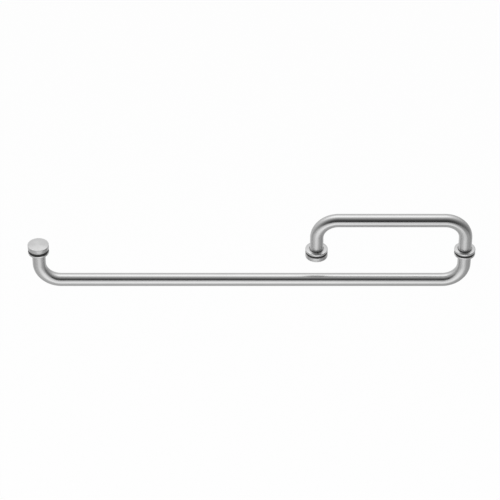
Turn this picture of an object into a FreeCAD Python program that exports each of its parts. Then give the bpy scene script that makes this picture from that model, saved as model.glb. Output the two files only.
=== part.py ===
import FreeCAD, Part
import os

# Towel bar and pull handle set for a glass shower door, in millimetres.
# X runs along the bars and Z through the glass, with the pull on the +Z side.
# The origin is midway between the outer holes, on the plane where the gaskets meet.

# Hole layout on the glass
towel_centres = 609.6
pull_centres = 212.0

# Bent tubes
tube_diameter = 19.05
tube_wall = 1.2
projection = 63.5
bend_radius = 30.5

# Washers and end caps that clamp the glass
end_disc_diameter = 30.2
middle_disc_diameter = 32.0
washer_thickness = 3.1
washer_chamfer = 0.8
foot_groove_width = 1.2
foot_groove_depth = 1.2
foot_groove_under = 0.2
cap_thickness = 6.5
cap_chamfer = 0.6
cap_face_thickness = 2.2

# Rubber gaskets and the plastic sleeves that line the glass holes
tube_gasket = 0.6
shared_gasket = 3.0
left_cap_gasket = 4.0
middle_cap_gasket = 2.8
gasket_inset = 0.4
sleeve_diameter = 12.0
sleeve_clearance = 0.2

# Studs and the inserts fixed in the tube ends
stud_diameter = 6.0
stud_chamfer = 0.6
stud_end_gap = 2.5
cap_stud_gap = 0.3
thread_clearance = 0.1
slip_clearance = 0.15
insert_clearance = 0.1
insert_bend_gap = 2.0
insert_chamfer = 0.6

# Grub screw that locks the pull's right end on the shared stud
grub_diameter = 5.0
grub_recess = 0.6
grub_point = 1.0
grub_hex = 2.5
grub_hex_depth = 2.5
grub_hole_clearance = 0.1
grub_tube_clearance = 0.25

# Places and heights that follow from the sizes above
left_hole = -towel_centres / 2
right_hole = towel_centres / 2
middle_hole = right_hole - pull_centres
pull_side = 1
towel_side = -1
bar_height = projection - tube_diameter / 2
bend_start = bar_height - bend_radius
tube_seat = tube_gasket + washer_thickness
shared_seat = shared_gasket + washer_thickness
insert_top = bend_start - insert_bend_gap
insert_diameter = tube_diameter - 2 * tube_wall - 2 * insert_clearance
sleeve_bore = sleeve_diameter + 2 * sleeve_clearance
grub_height = (tube_seat + insert_top) / 2
x_axis = FreeCAD.Vector(1, 0, 0)
y_axis = FreeCAD.Vector(0, 1, 0)
z_axis = FreeCAD.Vector(0, 0, 1)


# Every piece is made over its hole with its own side of the glass up, then put in place
def place(shape, hole, side):
    placed = shape.copy()
    if side == towel_side:
        placed.rotate(FreeCAD.Vector(), x_axis, 180)
    placed.translate(x_axis * hole)
    return placed


# Solid of revolution about Z from an outline of (radius, height) points
def turned(outline):
    points = [FreeCAD.Vector(radius, 0, height) for radius, height in outline]
    face = Part.Face(Part.makePolygon(points + points[:1]))
    return face.revolve(FreeCAD.Vector(), z_axis, 360)


# Rod along Z with both ends chamfered
def chamfered_rod(radius, low, high, chamfer):
    return turned([
        (0, low),
        (radius - chamfer, low),
        (radius, low + chamfer),
        (radius, high - chamfer),
        (radius - chamfer, high),
        (0, high),
    ])


# U-shaped tube from the seat over one hole to the seat over another
def bent_tube(span, near_seat, far_seat):
    start = FreeCAD.Vector(0, 0, near_seat)
    rise = FreeCAD.Vector(0, 0, bend_start)
    level = FreeCAD.Vector(bend_radius, 0, bar_height)
    far_level = FreeCAD.Vector(span - bend_radius, 0, bar_height)
    far_rise = FreeCAD.Vector(span, 0, bend_start)
    end = FreeCAD.Vector(span, 0, far_seat)
    bend_reach = bend_radius * (1 - 0.5 ** 0.5)
    bend_middle = FreeCAD.Vector(bend_reach, 0, bar_height - bend_reach)
    far_middle = FreeCAD.Vector(span - bend_reach, 0, bar_height - bend_reach)
    path = Part.Wire([
        Part.LineSegment(start, rise).toShape(),
        Part.Arc(rise, bend_middle, level).toShape(),
        Part.LineSegment(level, far_level).toShape(),
        Part.Arc(far_level, far_middle, far_rise).toShape(),
        Part.LineSegment(far_rise, end).toShape(),
    ])
    outside = Part.Wire(Part.makeCircle(tube_diameter / 2, start, z_axis))
    inside = Part.Wire(Part.makeCircle(tube_diameter / 2 - tube_wall, start, z_axis))
    return path.makePipe(Part.Face(outside)).cut(path.makePipe(Part.Face(inside)))


# Radial drilling through the far side of the pull's right post
def grub_drilling(diameter):
    foot = FreeCAD.Vector(0, 0, grub_height)
    return Part.makeCylinder(diameter / 2, tube_diameter, foot, y_axis)


# Metal washer on its gasket, chamfered on the edge that shows, with a groove round the tube's foot
def washer(disc_diameter, gasket_thickness):
    rim = disc_diameter / 2
    seat = gasket_thickness + washer_thickness
    groove_inside = tube_diameter / 2 - foot_groove_under
    groove_outside = tube_diameter / 2 + foot_groove_width
    groove_floor = seat - foot_groove_depth
    return turned([
        (sleeve_bore / 2, gasket_thickness),
        (rim, gasket_thickness),
        (rim, seat - washer_chamfer),
        (rim - washer_chamfer, seat),
        (groove_outside, seat),
        (groove_outside, groove_floor),
        (groove_inside, groove_floor),
        (groove_inside, seat),
        (sleeve_bore / 2, seat),
    ])


# Rubber ring that lies between a disc and the glass
def gasket(disc_diameter, gasket_thickness):
    edge = disc_diameter / 2 - gasket_inset
    return turned([
        (sleeve_bore / 2, 0),
        (edge, 0),
        (edge, gasket_thickness),
        (sleeve_bore / 2, gasket_thickness),
    ])


# Solid disc with a blind tapped hole that screws down on a stud
def end_cap(disc_diameter, gasket_thickness):
    rim = disc_diameter / 2
    bore = stud_diameter / 2 + thread_clearance
    top = gasket_thickness + cap_thickness
    bore_end = top - cap_face_thickness
    return turned([
        (bore, gasket_thickness),
        (rim, gasket_thickness),
        (rim, top - cap_chamfer),
        (rim - cap_chamfer, top),
        (0, top),
        (0, bore_end),
        (bore, bore_end),
    ])


# Turned plug fixed flush in a tube end, bored for the stud
def tube_insert(seat, bore_clearance):
    bore = stud_diameter / 2 + bore_clearance
    radius = insert_diameter / 2
    return turned([
        (bore, seat),
        (radius, seat),
        (radius, insert_top - insert_chamfer),
        (radius - insert_chamfer, insert_top),
        (bore, insert_top),
    ])


# Sleeve round the stud, with room at both ends
def hole_sleeve(low, high):
    bore = stud_diameter / 2 + slip_clearance
    return turned([
        (bore, low + sleeve_clearance),
        (sleeve_diameter / 2, low + sleeve_clearance),
        (sleeve_diameter / 2, high - sleeve_clearance),
        (bore, high - sleeve_clearance),
    ])


# Flat-point screw with a hexagon socket, from the shared stud to just inside the tube's face
def grub_screw():
    tip = stud_diameter / 2
    head = tube_diameter / 2 - grub_recess
    radius = grub_diameter / 2
    screw = turned([
        (0, tip),
        (radius - grub_point, tip),
        (radius, tip + grub_point),
        (radius, head),
        (0, head),
    ])
    corner = FreeCAD.Vector(grub_hex / 3 ** 0.5, 0, head - grub_hex_depth)
    turn = FreeCAD.Rotation(z_axis, 60)
    corners = [corner]
    for _ in range(6):
        corners.append(turn.multVec(corners[-1]))
    socket = Part.Face(Part.makePolygon(corners)).extrude(z_axis * grub_hex_depth)
    screw = screw.cut(socket)
    screw.rotate(FreeCAD.Vector(), x_axis, -90)
    screw.translate(z_axis * grub_height)
    return screw


pieces = {}

# The two bent tubes
pieces["towel_bar_tube"] = place(bent_tube(towel_centres, tube_seat, shared_seat), left_hole, towel_side)
pull_tube = place(bent_tube(pull_centres, tube_seat, tube_seat), middle_hole, pull_side)
tube_hole = place(grub_drilling(grub_diameter + 2 * grub_tube_clearance), right_hole, pull_side)
pieces["pull_handle_tube"] = pull_tube.cut(tube_hole)

# Washer, gasket and insert at each tube end
tube_ends = {
    "towel_left": (left_hole, towel_side, end_disc_diameter, tube_gasket),
    "towel_right": (right_hole, towel_side, end_disc_diameter, shared_gasket),
    "pull_left": (middle_hole, pull_side, middle_disc_diameter, tube_gasket),
    "pull_right": (right_hole, pull_side, end_disc_diameter, tube_gasket),
}
for end_name, (hole, side, disc, rubber) in tube_ends.items():
    pieces[end_name + "_washer"] = place(washer(disc, rubber), hole, side)
    pieces[end_name + "_gasket"] = place(gasket(disc, rubber), hole, side)
    seat = rubber + washer_thickness
    pieces[end_name + "_insert"] = place(tube_insert(seat, thread_clearance), hole, side)

# The pull's right end slips over the shared stud and is locked by its grub screw
slip_insert = tube_insert(tube_seat, slip_clearance)
slip_insert = slip_insert.cut(grub_drilling(grub_diameter + 2 * grub_hole_clearance))
pieces["pull_right_insert"] = place(slip_insert, right_hole, pull_side)
pieces["pull_grub_screw"] = place(grub_screw(), right_hole, pull_side)

# A cap with its own gasket, stud and sleeve across the glass from each single tube end
stud_reach = insert_top - stud_end_gap
capped_holes = {
    "left": (left_hole, pull_side, end_disc_diameter, left_cap_gasket),
    "middle": (middle_hole, towel_side, middle_disc_diameter, middle_cap_gasket),
}
for hole_name, (hole, side, disc, rubber) in capped_holes.items():
    cap_stud_end = rubber + cap_thickness - cap_face_thickness - cap_stud_gap
    cap_stud = chamfered_rod(stud_diameter / 2, -stud_reach, cap_stud_end, stud_chamfer)
    pieces[hole_name + "_end_cap"] = place(end_cap(disc, rubber), hole, side)
    pieces[hole_name + "_cap_gasket"] = place(gasket(disc, rubber), hole, side)
    pieces[hole_name + "_stud"] = place(cap_stud, hole, side)
    pieces[hole_name + "_hole_sleeve"] = place(hole_sleeve(-tube_seat, rubber), hole, side)

# The shared hole has a tube end on both sides
shared_stud = chamfered_rod(stud_diameter / 2, -stud_reach, stud_reach, stud_chamfer)
pieces["right_stud"] = place(shared_stud, right_hole, pull_side)
pieces["right_hole_sleeve"] = place(hole_sleeve(-shared_seat, tube_seat), right_hole, pull_side)

os.makedirs("parts", exist_ok=True)
for name, shape in pieces.items():
    shape.exportStep("parts/" + name + ".step")
    print(name, "solids", len(shape.Solids), "volume", round(shape.Volume, 2), "valid", shape.isValid())
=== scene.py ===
import math
import bmesh
import bpy
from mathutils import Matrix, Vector


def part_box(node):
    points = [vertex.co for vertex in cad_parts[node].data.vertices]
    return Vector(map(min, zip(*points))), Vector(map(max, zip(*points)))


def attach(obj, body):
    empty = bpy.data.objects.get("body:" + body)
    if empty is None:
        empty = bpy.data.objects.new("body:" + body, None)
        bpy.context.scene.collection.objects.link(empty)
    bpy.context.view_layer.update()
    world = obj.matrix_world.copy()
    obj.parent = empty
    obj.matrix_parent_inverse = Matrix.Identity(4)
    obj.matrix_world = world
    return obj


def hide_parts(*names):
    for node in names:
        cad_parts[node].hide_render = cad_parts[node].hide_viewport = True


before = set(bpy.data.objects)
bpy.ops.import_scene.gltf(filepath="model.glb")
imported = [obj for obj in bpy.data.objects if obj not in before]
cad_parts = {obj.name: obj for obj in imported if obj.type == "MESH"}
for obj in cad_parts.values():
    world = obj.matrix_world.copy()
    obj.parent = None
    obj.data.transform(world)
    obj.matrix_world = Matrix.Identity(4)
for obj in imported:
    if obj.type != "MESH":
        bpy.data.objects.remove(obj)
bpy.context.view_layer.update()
print("frame loaded:", len(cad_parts), "CAD nodes")

# camera: a long lens, looking down on the set as the photograph does
cameraSetup = {
    "aim": Vector((-0.0023, 0, 0.0005)),
    "distance": 3.708,
    "elevation": 38.75,   # degrees
    "lens": 186.7,        # mm
    "sensor": 36,         # mm
}


def addCamera(setup):
    tilt = math.radians(setup["elevation"])
    back = Vector((0, -math.cos(tilt), math.sin(tilt)))
    bpy.ops.object.camera_add(location=setup["aim"] + back * setup["distance"])
    camera = bpy.context.object
    camera.name = "photoCamera"
    camera.rotation_euler = (math.radians(90) - tilt, 0, 0)
    camera.data.lens = setup["lens"]
    camera.data.sensor_width = setup["sensor"]
    bpy.context.scene.camera = camera


addCamera(cameraSetup)
bpy.context.scene.view_settings.view_transform = "Standard"
print("camera placed")


# node helpers: sockets go by name or number, settings are the node's own
def addNode(tree, kind, sockets=None, **settings):
    node = tree.nodes.new(kind)
    for key, value in settings.items():
        setattr(node, key, value)
    for key, value in (sockets or {}).items():
        node.inputs[key].default_value = value
    return node


# a Math node on links or plain numbers
def combine(tree, operation, *values):
    node = addNode(tree, "ShaderNodeMath", operation=operation)
    for socket, value in zip(node.inputs, values):
        if isinstance(value, (int, float)):
            socket.default_value = value
        else:
            tree.links.new(value, socket)
    return node.outputs["Value"]


def objectPlace(tree):
    return addNode(tree, "ShaderNodeTexCoord").outputs["Object"]


def axesOf(tree, vector):
    split = addNode(tree, "ShaderNodeSeparateXYZ")
    tree.links.new(vector, split.inputs["Vector"])
    return split.outputs


def newMaterial(name, sockets):
    material = bpy.data.materials.new(name)
    material.use_nodes = True
    tree = material.node_tree
    shader = tree.nodes["Principled BSDF"]
    for key, value in sockets.items():
        shader.inputs[key].default_value = value
    return material, tree, shader


noiseSpan = 0.25, 0.75   # nearly all values of a noise lie between these


def fineNoise(tree, vector, scale, detail=3.0, dimensions="3D"):
    sockets = {"Scale": scale, "Detail": detail}
    noise = addNode(tree, "ShaderNodeTexNoise", sockets, noise_dimensions=dimensions)
    tree.links.new(vector, noise.inputs["W" if dimensions == "1D" else "Vector"])
    return noise.outputs["Fac"]


def mixNoise(tree, first, second, share):
    rest = combine(tree, "MULTIPLY", second, 1 - share)
    return combine(tree, "MULTIPLY_ADD", first, share, rest)


def spread(tree, noise, low, high):
    sockets = {"From Min": noiseSpan[0], "From Max": noiseSpan[1], "To Min": low, "To Max": high}
    ranged = addNode(tree, "ShaderNodeMapRange", sockets)
    tree.links.new(noise, ranged.inputs["Value"])
    return ranged.outputs["Result"]


def shade(tree, noise, dark, light):
    ramp = addNode(tree, "ShaderNodeValToRGB")
    for stop, place, tone in zip(ramp.color_ramp.elements, noiseSpan, (dark, light)):
        stop.position = place
        stop.color = (*tone, 1)
    tree.links.new(noise, ramp.inputs["Fac"])
    return ramp.outputs["Color"]


# colour and roughness follow the same noise
def addFinish(tree, shader, noise, finish):
    colour = shade(tree, noise, finish["dark"], finish["light"])
    roughness = spread(tree, noise, finish["smooth"], finish["rough"])
    tree.links.new(colour, shader.inputs["Base Color"])
    tree.links.new(roughness, shader.inputs["Roughness"])
    return colour


def addBump(tree, shader, height, finish):
    sockets = {"Strength": finish["bump"], "Distance": finish["bumpHeight"]}
    bump = addNode(tree, "ShaderNodeBump", sockets)
    tree.links.new(height, bump.inputs["Height"])
    tree.links.new(bump.outputs["Normal"], shader.inputs["Normal"])


# satin tube: grain runs round the tube, so reflections smear along it
tubeFinish = {
    "dark": (0.66, 0.66, 0.66),
    "light": (0.74, 0.74, 0.74),
    "smooth": 0.224,
    "rough": 0.27,
    "anisotropy": 0.84,
    "grainAlong": 4200,    # grain lines per metre of tube
    "grainAround": 60,
    "patch": 35,           # slow change along the tube
    "grainShare": 0.6,     # the rest is the slow change
    "bump": 0.006,
    "bumpHeight": 0.00002,
}


def satinTube(finish):
    sockets = {"Metallic": 1.0, "Anisotropic": finish["anisotropy"]}
    material, tree, shader = newMaterial("satinTube", sockets)
    uv = addNode(tree, "ShaderNodeUVMap", uv_map="alongTube").outputs["UV"]
    density = (finish["grainAlong"], finish["grainAround"], 1)
    stretch = addNode(tree, "ShaderNodeMapping", {"Scale": density})
    tree.links.new(uv, stretch.inputs["Vector"])
    grain = fineNoise(tree, stretch.outputs["Vector"], 1.0, detail=2.0)
    patch = fineNoise(tree, uv, finish["patch"], detail=4.0)
    addFinish(tree, shader, mixNoise(tree, grain, patch, finish["grainShare"]), finish)
    tangent = addNode(tree, "ShaderNodeTangent", direction_type="UV_MAP", uv_map="alongTube")
    tree.links.new(tangent.outputs["Tangent"], shader.inputs["Tangent"])
    addBump(tree, shader, grain, finish)
    return material


# turned discs: fine rings round the centre of each face, and round the rim
turnedFinish = {
    "anisotropy": 0.92,
    "grainTurn": 0.25,         # of a full turn
    "rings": 5200,             # rings per metre
    "blotch": 90,
    "ringShare": 0.7,          # the rest is blotches
    "bump": 0.02,
    "bumpHeight": 0.00002,
}
capFinish = {
    **turnedFinish,
    "dark": (0.69, 0.69, 0.69),
    "light": (0.765, 0.765, 0.765),
    "smooth": 0.28,
    "rough": 0.36,
}
# the washers are finer, and have painted shade: a darker base colour in the groove round the tube's foot
washerFinish = {
    **turnedFinish,
    "dark": (0.71, 0.71, 0.71),
    "light": (0.79, 0.79, 0.79),
    "smooth": 0.16,
    "rough": 0.23,
    "grooveRadius": 0.01003,   # to the middle of the groove
    "grooveHalf": 0.00075,     # half its width
    # painted shade: the flat grey that the groove's base colour is set to
    "grooveShadeTone": (0.5, 0.5, 0.5, 1),
}


def turnedSteel(name, finish):
    sockets = {
        "Metallic": 1.0,
        "Anisotropic": finish["anisotropy"],
        "Anisotropic Rotation": finish["grainTurn"],
    }
    material, tree, shader = newMaterial(name, sockets)
    uv = addNode(tree, "ShaderNodeUVMap", uv_map="discPlan").outputs["UV"]
    length = addNode(tree, "ShaderNodeVectorMath", operation="LENGTH")
    tree.links.new(uv, length.inputs[0])
    radius = length.outputs["Value"]
    place = objectPlace(tree)
    across = combine(tree, "ADD", radius, axesOf(tree, place)["Z"])   # radius on a face, height on the rim
    rings = fineNoise(tree, across, finish["rings"], dimensions="1D")
    blotch = fineNoise(tree, place, finish["blotch"])
    colour = addFinish(tree, shader, mixNoise(tree, rings, blotch, finish["ringShare"]), finish)
    # painted shade: inside the groove's radius band the base colour is swapped for the grey, standing in for
    # the shade of the groove
    if "grooveShadeTone" in finish:
        grooveShadeMask = combine(tree, "COMPARE", radius, finish["grooveRadius"], finish["grooveHalf"])
        grooveShadeMix = addNode(tree, "ShaderNodeMix", {"B": finish["grooveShadeTone"]}, data_type="RGBA")
        tree.links.new(grooveShadeMask, grooveShadeMix.inputs["Factor"])
        tree.links.new(colour, grooveShadeMix.inputs["A"])
        tree.links.new(grooveShadeMix.outputs["Result"], shader.inputs["Base Color"])
    tangent = addNode(tree, "ShaderNodeTangent", direction_type="RADIAL", axis="Z")
    tree.links.new(tangent.outputs["Tangent"], shader.inputs["Tangent"])
    addBump(tree, shader, rings, finish)
    return material


# plain steel for the inserts, and for the studs and grub screw
insertFinish = {
    "dark": (0.56, 0.56, 0.56),
    "light": (0.66, 0.66, 0.66),
    "smooth": 0.3,
    "rough": 0.45,
    "speck": 900,
    "bump": 0.1,
    "bumpHeight": 0.00003,
}
studFinish = {
    **insertFinish,
    "dark": (0.54, 0.54, 0.55),
    "light": (0.64, 0.64, 0.65),
    "speck": 1200,
}


def plainSteel(name, finish):
    material, tree, shader = newMaterial(name, {"Metallic": 1.0})
    speck = fineNoise(tree, objectPlace(tree), finish["speck"], detail=5.0)
    addFinish(tree, shader, speck, finish)
    addBump(tree, shader, speck, finish)
    return material


# matt moulded rubber
rubberFinish = {
    "dark": (0.012, 0.012, 0.012),
    "light": (0.032, 0.032, 0.032),
    "smooth": 0.55,
    "rough": 0.75,
    "shine": 0.35,
    "grain": 2600,
    "bump": 0.25,
    "bumpHeight": 0.00004,
}


def blackRubber(finish):
    material, tree, shader = newMaterial("blackRubber", {"Specular IOR Level": finish["shine"]})
    grain = fineNoise(tree, objectPlace(tree), finish["grain"], detail=4.0)
    addFinish(tree, shader, grain, finish)
    addBump(tree, shader, grain, finish)
    return material


# milky plastic of the hidden sleeves
plasticFinish = {
    "dark": (0.8, 0.82, 0.82),
    "light": (0.9, 0.92, 0.92),
    "smooth": 0.22,
    "rough": 0.4,
    "clearness": 0.45,
    "ior": 1.5,
    "cloud": 400,
}


def milkyPlastic(finish):
    sockets = {"Transmission Weight": finish["clearness"], "IOR": finish["ior"]}
    material, tree, shader = newMaterial("milkyPlastic", sockets)
    cloud = fineNoise(tree, objectPlace(tree), finish["cloud"], detail=4.0)
    addFinish(tree, shader, cloud, finish)
    return material


materials = {
    "satin_tube": satinTube(tubeFinish),
    "turned_steel": turnedSteel("turnedCap", capFinish),
    "insert_steel": plainSteel("insertSteel", insertFinish),
    "stud_steel": plainSteel("studSteel", studFinish),
    "black_rubber": blackRubber(rubberFinish),
    "clear_plastic": milkyPlastic(plasticFinish),
}
washerSteel = turnedSteel("turnedWasher", washerFinish)
print("materials made:", len(materials) + 1)

# how near counts as the same place, in metres
mergeDistance = 1e-6
placeTolerance = 1e-5
cutTolerance = 1e-7


# modelling helpers
def clearSelection():
    if bpy.context.object and bpy.context.object.mode != "OBJECT":
        bpy.ops.object.mode_set(mode="OBJECT")
    bpy.ops.object.select_all(action="DESELECT")


def selectOnly(piece):
    clearSelection()
    piece.select_set(True)
    bpy.context.view_layer.objects.active = piece


def namePiece(name):
    piece = bpy.context.object
    piece.name = name
    piece.data.name = name
    return piece


def applyPlace():
    bpy.ops.object.transform_apply(location=True, rotation=True, scale=True)


def startCircle(name, radius, centre, segments, fill="NOTHING"):
    clearSelection()
    bpy.ops.mesh.primitive_circle_add(vertices=segments, radius=radius, fill_type=fill, location=centre)
    piece = namePiece(name)
    applyPlace()
    bpy.ops.object.mode_set(mode="EDIT")
    bpy.ops.mesh.select_all(action="SELECT")
    return piece


def extrudeBy(x, y, z):
    bpy.ops.mesh.extrude_region_move(TRANSFORM_OT_translate={"value": (x, y, z)})


# edges or faces whose points all pass the test
def selectWhere(piece, kind, test):
    bpy.ops.mesh.select_mode(type=kind)
    bpy.ops.mesh.select_all(action="DESELECT")
    mesh = bmesh.from_edit_mesh(piece.data)
    for element in mesh.edges if kind == "EDGE" else mesh.faces:
        if all(test(vert.co) for vert in element.verts):
            element.select_set(True)
    mesh.select_flush_mode()
    bmesh.update_edit_mesh(piece.data)


def cleanMesh():
    bpy.ops.mesh.select_all(action="SELECT")
    bpy.ops.mesh.remove_doubles(threshold=mergeDistance)
    bpy.ops.mesh.normals_make_consistent(inside=False)


def applyModifier(piece, kind, **settings):
    bpy.ops.object.modifier_add(type=kind)
    modifier = piece.modifiers[-1]
    for key, value in settings.items():
        setattr(modifier, key, value)
    bpy.ops.object.modifier_apply(modifier=modifier.name)


def smoothPiece(piece, degrees=30):
    selectOnly(piece)
    bpy.ops.object.shade_smooth_by_angle(angle=math.radians(degrees))


def declare(piece, node, slot):
    piece.data.materials.clear()
    piece.data.materials.append(materials[slot])
    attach(piece, "root")
    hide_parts(node)


# a model made over the origin with its own side of the glass up goes to its hole as a copy
def placeCopy(model, name, node, slot, hole, side):
    selectOnly(model)
    bpy.ops.object.duplicate(linked=False)
    piece = namePiece(name)
    piece.rotation_euler = (0 if side > 0 else math.pi, 0, 0)
    piece.location = (hole, 0, 0)
    applyPlace()
    declare(piece, node, slot)
    return piece


def discard(model):
    mesh = model.data
    bpy.data.objects.remove(model)
    bpy.data.meshes.remove(mesh)


# places and sizes that the frame gives
def holeOf(node):
    low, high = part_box(node)
    return (low.x + high.x) / 2


def radiusOf(node, hole):
    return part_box(node)[1].x - hole


def seatOf(washer, side):
    low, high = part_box(washer)
    return max(low.z * side, high.z * side)


holes = {
    "left": holeOf("left_end_cap"),
    "middle": holeOf("middle_end_cap"),
    "right": holeOf("pull_right_washer"),
}
pullSide, towelSide = 1, -1
tubeRadius = radiusOf("towel_bar_tube", holes["right"])
projection = -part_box("towel_bar_tube")[0].z

# bent tubes, in metres
tubeShape = {
    "segments": 96,
    "bendSteps": 40,
    "bendRadius": 0.0305,
    "wall": 0.0012,
    "drillRadius": 0.00275,   # for the grub screw, in the back of the pull's right post
    "drillSegments": 48,
}


def wrapTube(piece, start, end, seats, side, shape):
    # u runs along the tube's middle line and v round it, both in metres
    bend = shape["bendRadius"]
    bendStart = projection - tubeRadius - bend
    arc = bend * math.pi / 2
    firstBend = bendStart - seats[0]
    level = firstBend + arc
    farPost = level + end - start - 2 * bend + arc
    mesh = bmesh.new()
    mesh.from_mesh(piece.data)
    layer = mesh.loops.layers.uv.new("alongTube")

    # how far along a point is, the middle line beside it, and which way is out of the bend
    def along(co):
        height = co.z * side
        near = co.x - start < end - co.x
        if height <= bendStart:
            run = height - seats[0] if near else farPost + bendStart - height
            return run, Vector((start if near else end, 0, co.z)), Vector((-1 if near else 1, 0, 0))
        if start + bend <= co.x <= end - bend:
            middle = Vector((co.x, 0, side * (bendStart + bend)))
            return level + co.x - start - bend, middle, Vector((0, 0, side))
        centre = Vector((start + bend if near else end - bend, 0, side * bendStart))
        arm = Vector((co.x, 0, co.z)) - centre
        outward = arm.normalized()
        angle = math.atan2(arm.z * side, -arm.x if near else arm.x)
        run = firstBend + bend * angle if near else farPost - bend * angle
        return run, centre + outward * bend, outward

    for face in mesh.faces:
        turns = []
        for loop in face.loops:
            run, middle, outward = along(loop.vert.co)
            off = loop.vert.co - middle
            turns.append((loop, run, math.atan2(off.y, -off.dot(outward))))
        first = turns[0][2]
        for loop, run, turn in turns:
            if turn - first > math.pi:
                turn -= 2 * math.pi
            elif first - turn > math.pi:
                turn += 2 * math.pi
            loop[layer].uv = (run, turn * tubeRadius)
    mesh.to_mesh(piece.data)
    mesh.free()


def bendTube(name, start, end, seats, side, shape):
    bend = shape["bendRadius"]
    bendStart = projection - tubeRadius - bend
    quarter = math.radians(-90) * side   # spin turns clockwise about its axis
    piece = startCircle(name, tubeRadius, (start, 0, side * seats[0]), shape["segments"])
    extrudeBy(0, 0, side * (bendStart - seats[0]))
    bpy.ops.mesh.spin(steps=shape["bendSteps"], angle=quarter, axis=(0, 1, 0),
                      center=(start + bend, 0, side * bendStart))
    extrudeBy(end - start - 2 * bend, 0, 0)
    bpy.ops.mesh.spin(steps=shape["bendSteps"], angle=quarter, axis=(0, 1, 0),
                      center=(end - bend, 0, side * bendStart))
    extrudeBy(0, 0, side * (seats[1] - bendStart))
    cleanMesh()
    bpy.ops.object.mode_set(mode="OBJECT")
    wrapTube(piece, start, end, seats, side, shape)
    applyModifier(piece, "SOLIDIFY", thickness=shape["wall"], offset=-1)
    return piece


def cutAway(piece, cutter):
    selectOnly(piece)
    applyModifier(piece, "BOOLEAN", object=cutter, operation="DIFFERENCE", solver="EXACT")
    discard(cutter)


def drillPost(piece, hole, height, shape):
    clearSelection()
    bpy.ops.mesh.primitive_cylinder_add(vertices=shape["drillSegments"], radius=shape["drillRadius"],
                                        depth=tubeRadius, location=(hole, tubeRadius, height),
                                        rotation=(math.radians(90), 0, 0))
    drill = bpy.context.object
    applyPlace()
    cutAway(piece, drill)


grubLow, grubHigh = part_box("pull_grub_screw")
grubHeight = (grubLow.z + grubHigh.z) / 2
towelSeats = seatOf("towel_left_washer", towelSide), seatOf("towel_right_washer", towelSide)
towelTube = bendTube("towelBarTube", holes["left"], holes["right"], towelSeats, towelSide, tubeShape)
smoothPiece(towelTube)
declare(towelTube, "towel_bar_tube", "satin_tube")
pullSeats = seatOf("pull_left_washer", pullSide), seatOf("pull_right_washer", pullSide)
pullTube = bendTube("pullHandleTube", holes["middle"], holes["right"], pullSeats, pullSide, tubeShape)
drillPost(pullTube, holes["right"], grubHeight, tubeShape)
smoothPiece(pullTube)
declare(pullTube, "pull_handle_tube", "satin_tube")
print("bent tubes made")


# discs: every one lies flat over the origin first
def turnedRing(name, outline, segments):
    # each loop is pulled from the one before, and the last one meets the first
    radius, height = outline[0]
    piece = startCircle(name, radius, (0, 0, height), segments)
    for nextRadius, nextHeight in outline[1:] + outline[:1]:
        extrudeBy(0, 0, nextHeight - height)
        grow = nextRadius / radius
        bpy.ops.transform.resize(value=(grow, grow, 1), center_override=(0, 0, nextHeight))
        radius, height = nextRadius, nextHeight
    cleanMesh()
    return piece


def bevelRim(piece, radius, height, width, steps):
    def onRim(co):
        return abs(co.xy.length - radius) < placeTolerance and abs(co.z - height) < placeTolerance

    selectWhere(piece, "EDGE", onRim)
    bpy.ops.mesh.bevel(offset=width, segments=steps, affect="EDGES")


def finishDisc(piece):
    # its UV map is the disc's own plan, centred on its axis
    bpy.ops.object.mode_set(mode="OBJECT")
    while piece.data.uv_layers:
        piece.data.uv_layers.remove(piece.data.uv_layers[0])
    layer = piece.data.uv_layers.new(name="discPlan")
    for loop in piece.data.loops:
        co = piece.data.vertices[loop.vertex_index].co
        layer.data[loop.index].uv = (co.x, co.y)
    smoothPiece(piece)
    return piece


# sizes of the discs, in metres
discShape = {
    "segments": 128,
    "bore": 0.0062,
    "washerBevel": 0.0008,
    "capBevel": 0.0006,
    "gasketBevel": 0.0002,
    "bevelSteps": 3,
    "footBevel": 0.0002,     # on the edge that faces the glass
    "footSteps": 2,
    "capBore": 0.0031,
    "capFace": 0.0022,       # metal left over the blind hole
    "grooveWidth": 0.0012,   # of the groove round a tube's foot
    "grooveUnder": 0.0002,   # how far it goes in under the tube
    "grooveDepth": 0.0012,
}


def washerModel(radius, low, high, shape):
    bore = shape["bore"]
    grooveOutside = tubeRadius + shape["grooveWidth"]
    grooveInside = tubeRadius - shape["grooveUnder"]
    grooveFloor = high - shape["grooveDepth"]
    outline = [
        (bore, low),
        (radius, low),
        (radius, high),
        (grooveOutside, high),
        (grooveOutside, grooveFloor),
        (grooveInside, grooveFloor),
        (grooveInside, high),
        (bore, high),
    ]
    piece = turnedRing("washerModel", outline, shape["segments"])
    bevelRim(piece, radius, high, shape["washerBevel"], shape["bevelSteps"])
    bevelRim(piece, radius, low, shape["footBevel"], shape["footSteps"])
    return finishDisc(piece)


def gasketModel(radius, low, high, shape):
    bore = shape["bore"]
    outline = [(bore, low), (radius, low), (radius, high), (bore, high)]
    piece = turnedRing("gasketModel", outline, shape["segments"])
    bevelRim(piece, radius, high, shape["gasketBevel"], shape["bevelSteps"])
    bevelRim(piece, radius, low, shape["gasketBevel"], shape["bevelSteps"])
    return finishDisc(piece)


def capModel(radius, low, high, shape):
    # the foot is a ring, and its inner edge goes up into the blind hole
    piece = startCircle("capModel", radius, (0, 0, low), shape["segments"], "NGON")
    extrudeBy(0, 0, high - low)
    cleanMesh()
    selectWhere(piece, "FACE", lambda co: abs(co.z - low) < placeTolerance)
    bpy.ops.mesh.inset(thickness=radius - shape["capBore"])
    extrudeBy(0, 0, high - shape["capFace"] - low)
    bevelRim(piece, radius, high, shape["capBevel"], shape["bevelSteps"])
    bevelRim(piece, radius, low, shape["footBevel"], shape["footSteps"])
    return finishDisc(piece)


# a disc's radius and heights, as the frame has them on its own side of the glass
def discSizes(node, hole, side):
    low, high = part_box(node)
    heights = sorted((low.z * side, high.z * side))
    return round(high.x - holes[hole], 6), round(heights[0], 6), round(heights[1], 6)


discModels = {}


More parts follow.
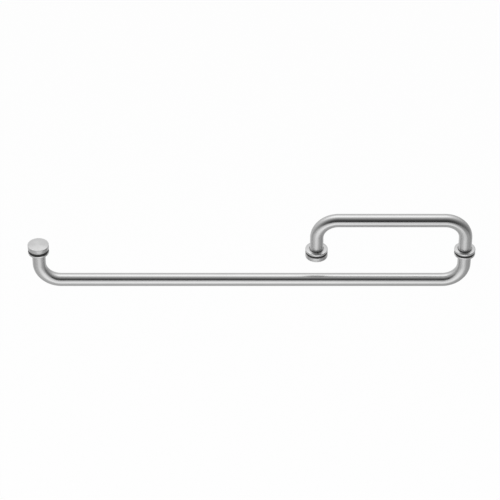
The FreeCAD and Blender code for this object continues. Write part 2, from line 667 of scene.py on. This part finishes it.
# discs of the same size are modelled once and copied
def addDisc(build, name, node, slot, hole, side):
    sizes = discSizes(node, hole, side)
    if (build, sizes) not in discModels:
        discModels[build, sizes] = build(*sizes, discShape)
    return placeCopy(discModels[build, sizes], name, node, slot, holes[hole], side)


tubeEnds = {
    "towelLeft": ("towel_left", "left", towelSide),
    "towelRight": ("towel_right", "right", towelSide),
    "pullLeft": ("pull_left", "middle", pullSide),
    "pullRight": ("pull_right", "right", pullSide),
}
for name, (node, hole, side) in tubeEnds.items():
    washer = addDisc(washerModel, name + "Washer", node + "_washer", "turned_steel", hole, side)
    washer.data.materials[0] = washerSteel
    addDisc(gasketModel, name + "Gasket", node + "_gasket", "black_rubber", hole, side)
for hole, side in {"left": pullSide, "middle": towelSide}.items():
    addDisc(capModel, hole + "EndCap", hole + "_end_cap", "turned_steel", hole, side)
    addDisc(gasketModel, hole + "CapGasket", hole + "_cap_gasket", "black_rubber", hole, side)
for model in discModels.values():
    discard(model)
print("discs and gaskets placed")

# threaded studs and the grub screw, in metres, with the tooth in shares of its pitch
threadShape = {
    "flank": 0.3125,
    "crest": 0.125,
    "root": 0.25,
    "steps": 36,       # in each turn
    "spareTurns": 2,   # past each end, cut off afterwards
}
studShape = {
    **threadShape,
    "pitch": 0.001,
    "depth": 0.00054,
    "chamfers": (0.0006, 0.0006),   # at the low and the high end
}
grubShape = {
    **threadShape,
    "pitch": 0.0008,
    "depth": 0.00043,
    "chamfers": (0.001, 0),         # a point, and a flat head
    "hexAcross": 0.0025,
    "hexDepth": 0.0025,
}


def threadedRod(name, radius, low, high, shape):
    pitch, depth, chamfers = shape["pitch"], shape["depth"], shape["chamfers"]
    firstTurn = low - shape["spareTurns"] * pitch
    clearSelection()
    bpy.ops.mesh.primitive_plane_add(size=pitch, location=(radius - depth, 0, firstTurn))
    piece = namePiece(name)
    applyPlace()
    bpy.ops.object.mode_set(mode="EDIT")
    bpy.ops.mesh.select_mode(type="VERT")
    bpy.ops.mesh.select_all(action="SELECT")
    bpy.ops.mesh.merge(type="CENTER")
    # one tooth is drawn from that point, then wound up the rod
    for out, rise in ((depth, "flank"), (0, "crest"), (-depth, "flank"), (0, "root")):
        step = (out, 0, shape[rise] * pitch)
        bpy.ops.mesh.extrude_vertices_move(TRANSFORM_OT_translate={"value": step})
    bpy.ops.object.mode_set(mode="OBJECT")
    turns = math.ceil((high - low) / pitch) + 2 * shape["spareTurns"]
    applyModifier(piece, "SCREW", axis="Z", angle=math.radians(360), screw_offset=pitch,
                  steps=shape["steps"], render_steps=shape["steps"], iterations=turns,
                  use_merge_vertices=True, merge_threshold=mergeDistance)
    bpy.ops.object.mode_set(mode="EDIT")
    cleanMesh()
    for height, inner in ((low, True), (high, False)):
        bpy.ops.mesh.select_all(action="SELECT")
        bpy.ops.mesh.bisect(plane_co=(0, 0, height), plane_no=(0, 0, 1), use_fill=True,
                            threshold=cutTolerance, clear_inner=inner, clear_outer=not inner)
    cleanMesh()
    bpy.ops.object.mode_set(mode="OBJECT")
    # the thread runs out on a cone at each chamfered end
    for vert in piece.data.vertices:
        room = min(vert.co.z - low - chamfers[0], high - chamfers[1] - vert.co.z, 0)
        if vert.co.xy.length > radius + room:
            vert.co.xy *= (radius + room) / vert.co.xy.length
    return piece


def addStud(hole, shape):
    node = hole + "_stud"
    low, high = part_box(node)
    piece = threadedRod(hole + "Stud", radiusOf(node, holes[hole]), low.z, high.z, shape)
    piece.location = (holes[hole], 0, 0)
    applyPlace()
    smoothPiece(piece)
    declare(piece, node, "stud_steel")


def addGrubScrew(shape):
    length = grubHigh.y - grubLow.y
    radius = (grubHigh.x - grubLow.x) / 2
    piece = threadedRod("pullGrubScrew", radius, 0, length, shape)
    clearSelection()
    bpy.ops.mesh.primitive_cylinder_add(vertices=6, radius=shape["hexAcross"] / math.sqrt(3),
                                        depth=2 * shape["hexDepth"], location=(0, 0, length))
    hexagon = bpy.context.object
    applyPlace()
    cutAway(piece, hexagon)
    piece.rotation_euler = (math.radians(-90), 0, 0)
    piece.location = (holes["right"], grubLow.y, grubHeight)
    applyPlace()
    smoothPiece(piece)
    declare(piece, "pull_grub_screw", "stud_steel")


for hole in holes:
    addStud(hole, studShape)
addGrubScrew(grubShape)
print("studs and grub screw threaded")

# the inserts and sleeves keep their CAD shapes and get their finish
for node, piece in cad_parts.items():
    if node.endswith(("_insert", "_sleeve")):
        slot = "insert_steel" if node.endswith("_insert") else "clear_plastic"
        piece.data.materials.clear()
        piece.data.materials.append(materials[slot])
print("inserts and sleeves finished")

# studio: a white floor well below the set, with a dark dome and a front card that only the metal sees
studio = {
    "floorHeight": -1.3,
    "floorSize": 60,
    "floorTone": (0.92, 0.92, 0.92, 1),
    "floorWhite": 0.95,          # how much of the floor is plain white rather than lit
    "domeRadius": 5.0,
    "domeSegments": 96,
    "domeRings": 48,
    "keyElevation": 115,         # degrees from the front horizon over the top
    "keyShift": -0.03,           # towards the left
    "keyWidth": 1.6,             # how much wider than deep it is
    "cardFoot": -1.58,           # where the leaning front card meets the floor
    "cardHead": (-0.45, 0.13),   # y and z of its upper edge
    "cardWidth": 3.4,
    "cardSpread": 0.22,          # its sides fade along lines from a point this far behind the set
    "cardLean": 0.1,             # how far its middle runs to the right on the way down
    "glow": 1.36,                # brightest level that the metal sees
    "fillLevel": 0.6,            # of the white room, on what isn't metal
    "softboxPower": 90,          # watts
    "softboxSize": 2.4,
    "softboxPlace": (-0.8, -1.6, 3.0),
}
# levels as shares of the glow: the key by degrees from its middle
keyBands = {
    0: 1.0, 9: 0.97, 12: 0.95, 20: 0.68, 30: 0.45,
    48: 0.22, 64: 0.095, 80: 0.034, 95: 0.021, 180: 0.021,
}
# each fill by how nearly a direction points its way, where 1 is straight at it
fills = {
    (-0.1, 0.95, -0.3): {
        0.25: 0.0, 0.4: 0.04, 0.55: 0.08, 0.7: 0.14,
        0.8: 0.21, 0.89: 0.3, 0.95: 0.36, 1.0: 0.38,
    },
    (-0.8, 0.6, 0.0): {0.4: 0.0, 0.6: 0.02, 0.8: 0.06, 0.92: 0.09, 1.0: 0.1},
    (0.7, 0.7, 0.0): {0.6: 0.0, 0.8: 0.05, 0.9: 0.1, 1.0: 0.1},
    (-1.0, 0.0, 0.0): {0.3: 0.0, 0.5: 0.03, 0.76: 0.13, 0.94: 0.24, 1.0: 0.27},
    (1.0, 0.0, 0.0): {0.3: 0.0, 0.6: 0.03, 1.0: 0.11},
}
# the card by height, and by metres to the right for each metre in front of its fade point
cardBands = {-1.3: 0.62, -0.495: 0.9, -0.271: 0.9, -0.166: 0.84, -0.05: 0.68, 0.06: 0.6, 0.13: 0.3}
cardEnds = {
    -1.3: 0.5, -0.76: 0.62, -0.55: 0.76, -0.35: 0.95, 0.0: 1.0, 0.08: 1.0,
    0.2: 0.9, 0.38: 0.86, 0.55: 0.66, 0.76: 0.4, 1.3: 0.28,
}
# the floor by metres in front of the set, and by metres to its right
floorFront = {-3.0: 0.52, -1.2: 0.52, -0.5: 0.42, 0.0: 0.34, 0.62: 0.39, 1.36: 0.41, 1.44: 0.62, 1.58: 0.66}
floorAcross = {-3.6: 0.87, -1.2: 0.98, 0.0: 1.0, 0.15: 1.0, 0.45: 0.84, 0.9: 0.78, 2.4: 0.74, 3.6: 0.7}


# rays that see a thing straight or through plastic, and those rays with reflections added
def seenDirectly(tree):
    path = addNode(tree, "ShaderNodeLightPath").outputs
    direct = combine(tree, "MAXIMUM", path["Is Camera Ray"], path["Is Transmission Ray"])
    return direct, combine(tree, "MAXIMUM", direct, path["Is Glossy Ray"])


def bandRamp(tree, value, bands):
    low, high = min(bands), max(bands)
    ranged = addNode(tree, "ShaderNodeMapRange", {"From Min": low, "From Max": high})
    tree.links.new(value, ranged.inputs["Value"])
    ramp = addNode(tree, "ShaderNodeValToRGB")
    stops = ramp.color_ramp.elements
    while len(stops) > 1:
        stops.remove(stops[-1])
    for index, (place, level) in enumerate(bands.items()):
        stop = stops[0] if index == 0 else stops.new((place - low) / (high - low))
        stop.color = (level, level, level, 1)
    stops[0].position = 0
    tree.links.new(ranged.outputs["Result"], ramp.inputs["Fac"])
    return ramp.outputs["Color"]


def unitVector(tree, vector):
    unit = addNode(tree, "ShaderNodeVectorMath", operation="NORMALIZE")
    tree.links.new(vector, unit.inputs[0])
    return unit.outputs["Vector"]


def facing(tree, vector, direction):
    dot = addNode(tree, "ShaderNodeVectorMath", {1: Vector(direction).normalized()}, operation="DOT_PRODUCT")
    tree.links.new(vector, dot.inputs[0])
    return dot.outputs["Value"]


def whiteWorld(setup):
    world = bpy.data.worlds.new("whiteRoom")
    bpy.context.scene.world = world
    world.use_nodes = True
    tree = world.node_tree
    background = tree.nodes["Background"]
    background.inputs["Color"].default_value = (1, 1, 1, 1)
    level = addNode(tree, "ShaderNodeMapRange", {"To Min": setup["fillLevel"], "To Max": 1.0})
    tree.links.new(seenDirectly(tree)[1], level.inputs["Value"])
    tree.links.new(level.outputs["Result"], background.inputs["Strength"])


def glowMaterial(name, strength):
    material = bpy.data.materials.new(name)
    material.use_nodes = True
    tree = material.node_tree
    tree.nodes.remove(tree.nodes["Principled BSDF"])
    glow = addNode(tree, "ShaderNodeEmission", {"Strength": strength})
    tree.links.new(glow.outputs["Emission"], tree.nodes["Material Output"].inputs["Surface"])
    return material, tree, glow


def onlyInReflections(card):
    card.visible_camera = False
    card.visible_diffuse = False
    card.visible_transmission = False
    card.visible_shadow = False


def paleFloor(setup):
    clearSelection()
    bpy.ops.mesh.primitive_plane_add(size=setup["floorSize"], location=(0, 0, setup["floorHeight"]))
    floor = bpy.context.object
    floor.name = "paleFloor"
    applyPlace()
    material, tree, glow = glowMaterial("paleFloor", 1.0)
    direct, every = seenDirectly(tree)
    axes = axesOf(tree, objectPlace(tree))
    front = bandRamp(tree, combine(tree, "MULTIPLY", axes["Y"], -1), floorFront)
    across = bandRamp(tree, axes["X"], floorAcross)
    level = combine(tree, "MULTIPLY", combine(tree, "MULTIPLY", front, across), setup["glow"])
    # plain white where it is seen, banded where the metal reflects it
    colour = addNode(tree, "ShaderNodeMix", {"B": (1, 1, 1, 1)}, data_type="RGBA")
    tree.links.new(direct, colour.inputs["Factor"])
    tree.links.new(level, colour.inputs["A"])
    tree.links.new(colour.outputs["Result"], glow.inputs["Color"])
    lit = addNode(tree, "ShaderNodeBsdfDiffuse", {"Color": setup["floorTone"]})
    both = addNode(tree, "ShaderNodeMixShader")
    tree.links.new(combine(tree, "MULTIPLY", every, setup["floorWhite"]), both.inputs["Fac"])
    tree.links.new(lit.outputs["BSDF"], both.inputs[1])
    tree.links.new(glow.outputs["Emission"], both.inputs[2])
    tree.links.new(both.outputs["Shader"], tree.nodes["Material Output"].inputs["Surface"])
    floor.data.materials.append(material)


def darkDome(setup):
    # a bright patch high at the back, some light behind and at both sides, and dark elsewhere
    clearSelection()
    bpy.ops.mesh.primitive_uv_sphere_add(segments=setup["domeSegments"], ring_count=setup["domeRings"],
                                         radius=setup["domeRadius"])
    dome = bpy.context.object
    dome.name = "darkDome"
    bpy.ops.object.mode_set(mode="EDIT")
    bpy.ops.mesh.select_all(action="SELECT")
    bpy.ops.mesh.bisect(plane_co=(0, 0, setup["floorHeight"]), plane_no=(0, 0, 1), clear_inner=True)
    bpy.ops.object.mode_set(mode="OBJECT")
    material, tree, glow = glowMaterial("domeCloth", setup["glow"])
    place = unitVector(tree, objectPlace(tree))
    squeeze = (1 / setup["keyWidth"], 1, 1)
    narrow = addNode(tree, "ShaderNodeVectorMath", {1: squeeze}, operation="MULTIPLY")
    tree.links.new(place, narrow.inputs[0])
    turn = math.radians(setup["keyElevation"])
    key = (setup["keyShift"], -math.cos(turn), math.sin(turn))
    towardKey = facing(tree, unitVector(tree, narrow.outputs["Vector"]), key)
    degrees = combine(tree, "DEGREES", combine(tree, "ARCCOSINE", towardKey))
    level = bandRamp(tree, degrees, keyBands)
    for direction, bands in fills.items():
        level = combine(tree, "ADD", level, bandRamp(tree, facing(tree, place, direction), bands))
    tree.links.new(level, glow.inputs["Color"])
    dome.data.materials.append(material)
    onlyInReflections(dome)


def frontCard(setup):
    # it leans towards the set from its foot on the floor
    foot = Vector((0, setup["cardFoot"], setup["floorHeight"]))
    head = Vector((0, *setup["cardHead"]))
    slope = head - foot
    clearSelection()
    bpy.ops.mesh.primitive_plane_add(size=1, location=(foot + head) / 2,
                                     rotation=(math.atan2(slope.z, slope.y), 0, 0))
    card = bpy.context.object
    card.name = "frontCard"
    card.scale = (setup["cardWidth"], slope.length, 1)
    applyPlace()
    material, tree, glow = glowMaterial("cardPaper", setup["glow"])
    axes = axesOf(tree, objectPlace(tree))
    middle = combine(tree, "MULTIPLY", axes["Z"], setup["cardLean"])
    aside = combine(tree, "ADD", axes["X"], middle)
    ahead = combine(tree, "SUBTRACT", setup["cardSpread"], axes["Y"])
    ends = bandRamp(tree, combine(tree, "DIVIDE", aside, ahead), cardEnds)
    level = combine(tree, "MULTIPLY", bandRamp(tree, axes["Z"], cardBands), ends)
    tree.links.new(level, glow.inputs["Color"])
    card.data.materials.append(material)
    onlyInReflections(card)


def softbox(setup):
    clearSelection()
    bpy.ops.object.light_add(type="AREA", location=setup["softboxPlace"])
    lamp = bpy.context.object
    lamp.name = "overheadSoftbox"
    lamp.data.size = setup["softboxSize"]
    lamp.data.energy = setup["softboxPower"]
    lamp.rotation_euler = (-lamp.location).to_track_quat("-Z", "Y").to_euler()   # at the origin
    lamp.visible_glossy = False


whiteWorld(studio)
paleFloor(studio)
darkDome(studio)
frontCard(studio)
softbox(studio)
print("studio lit")
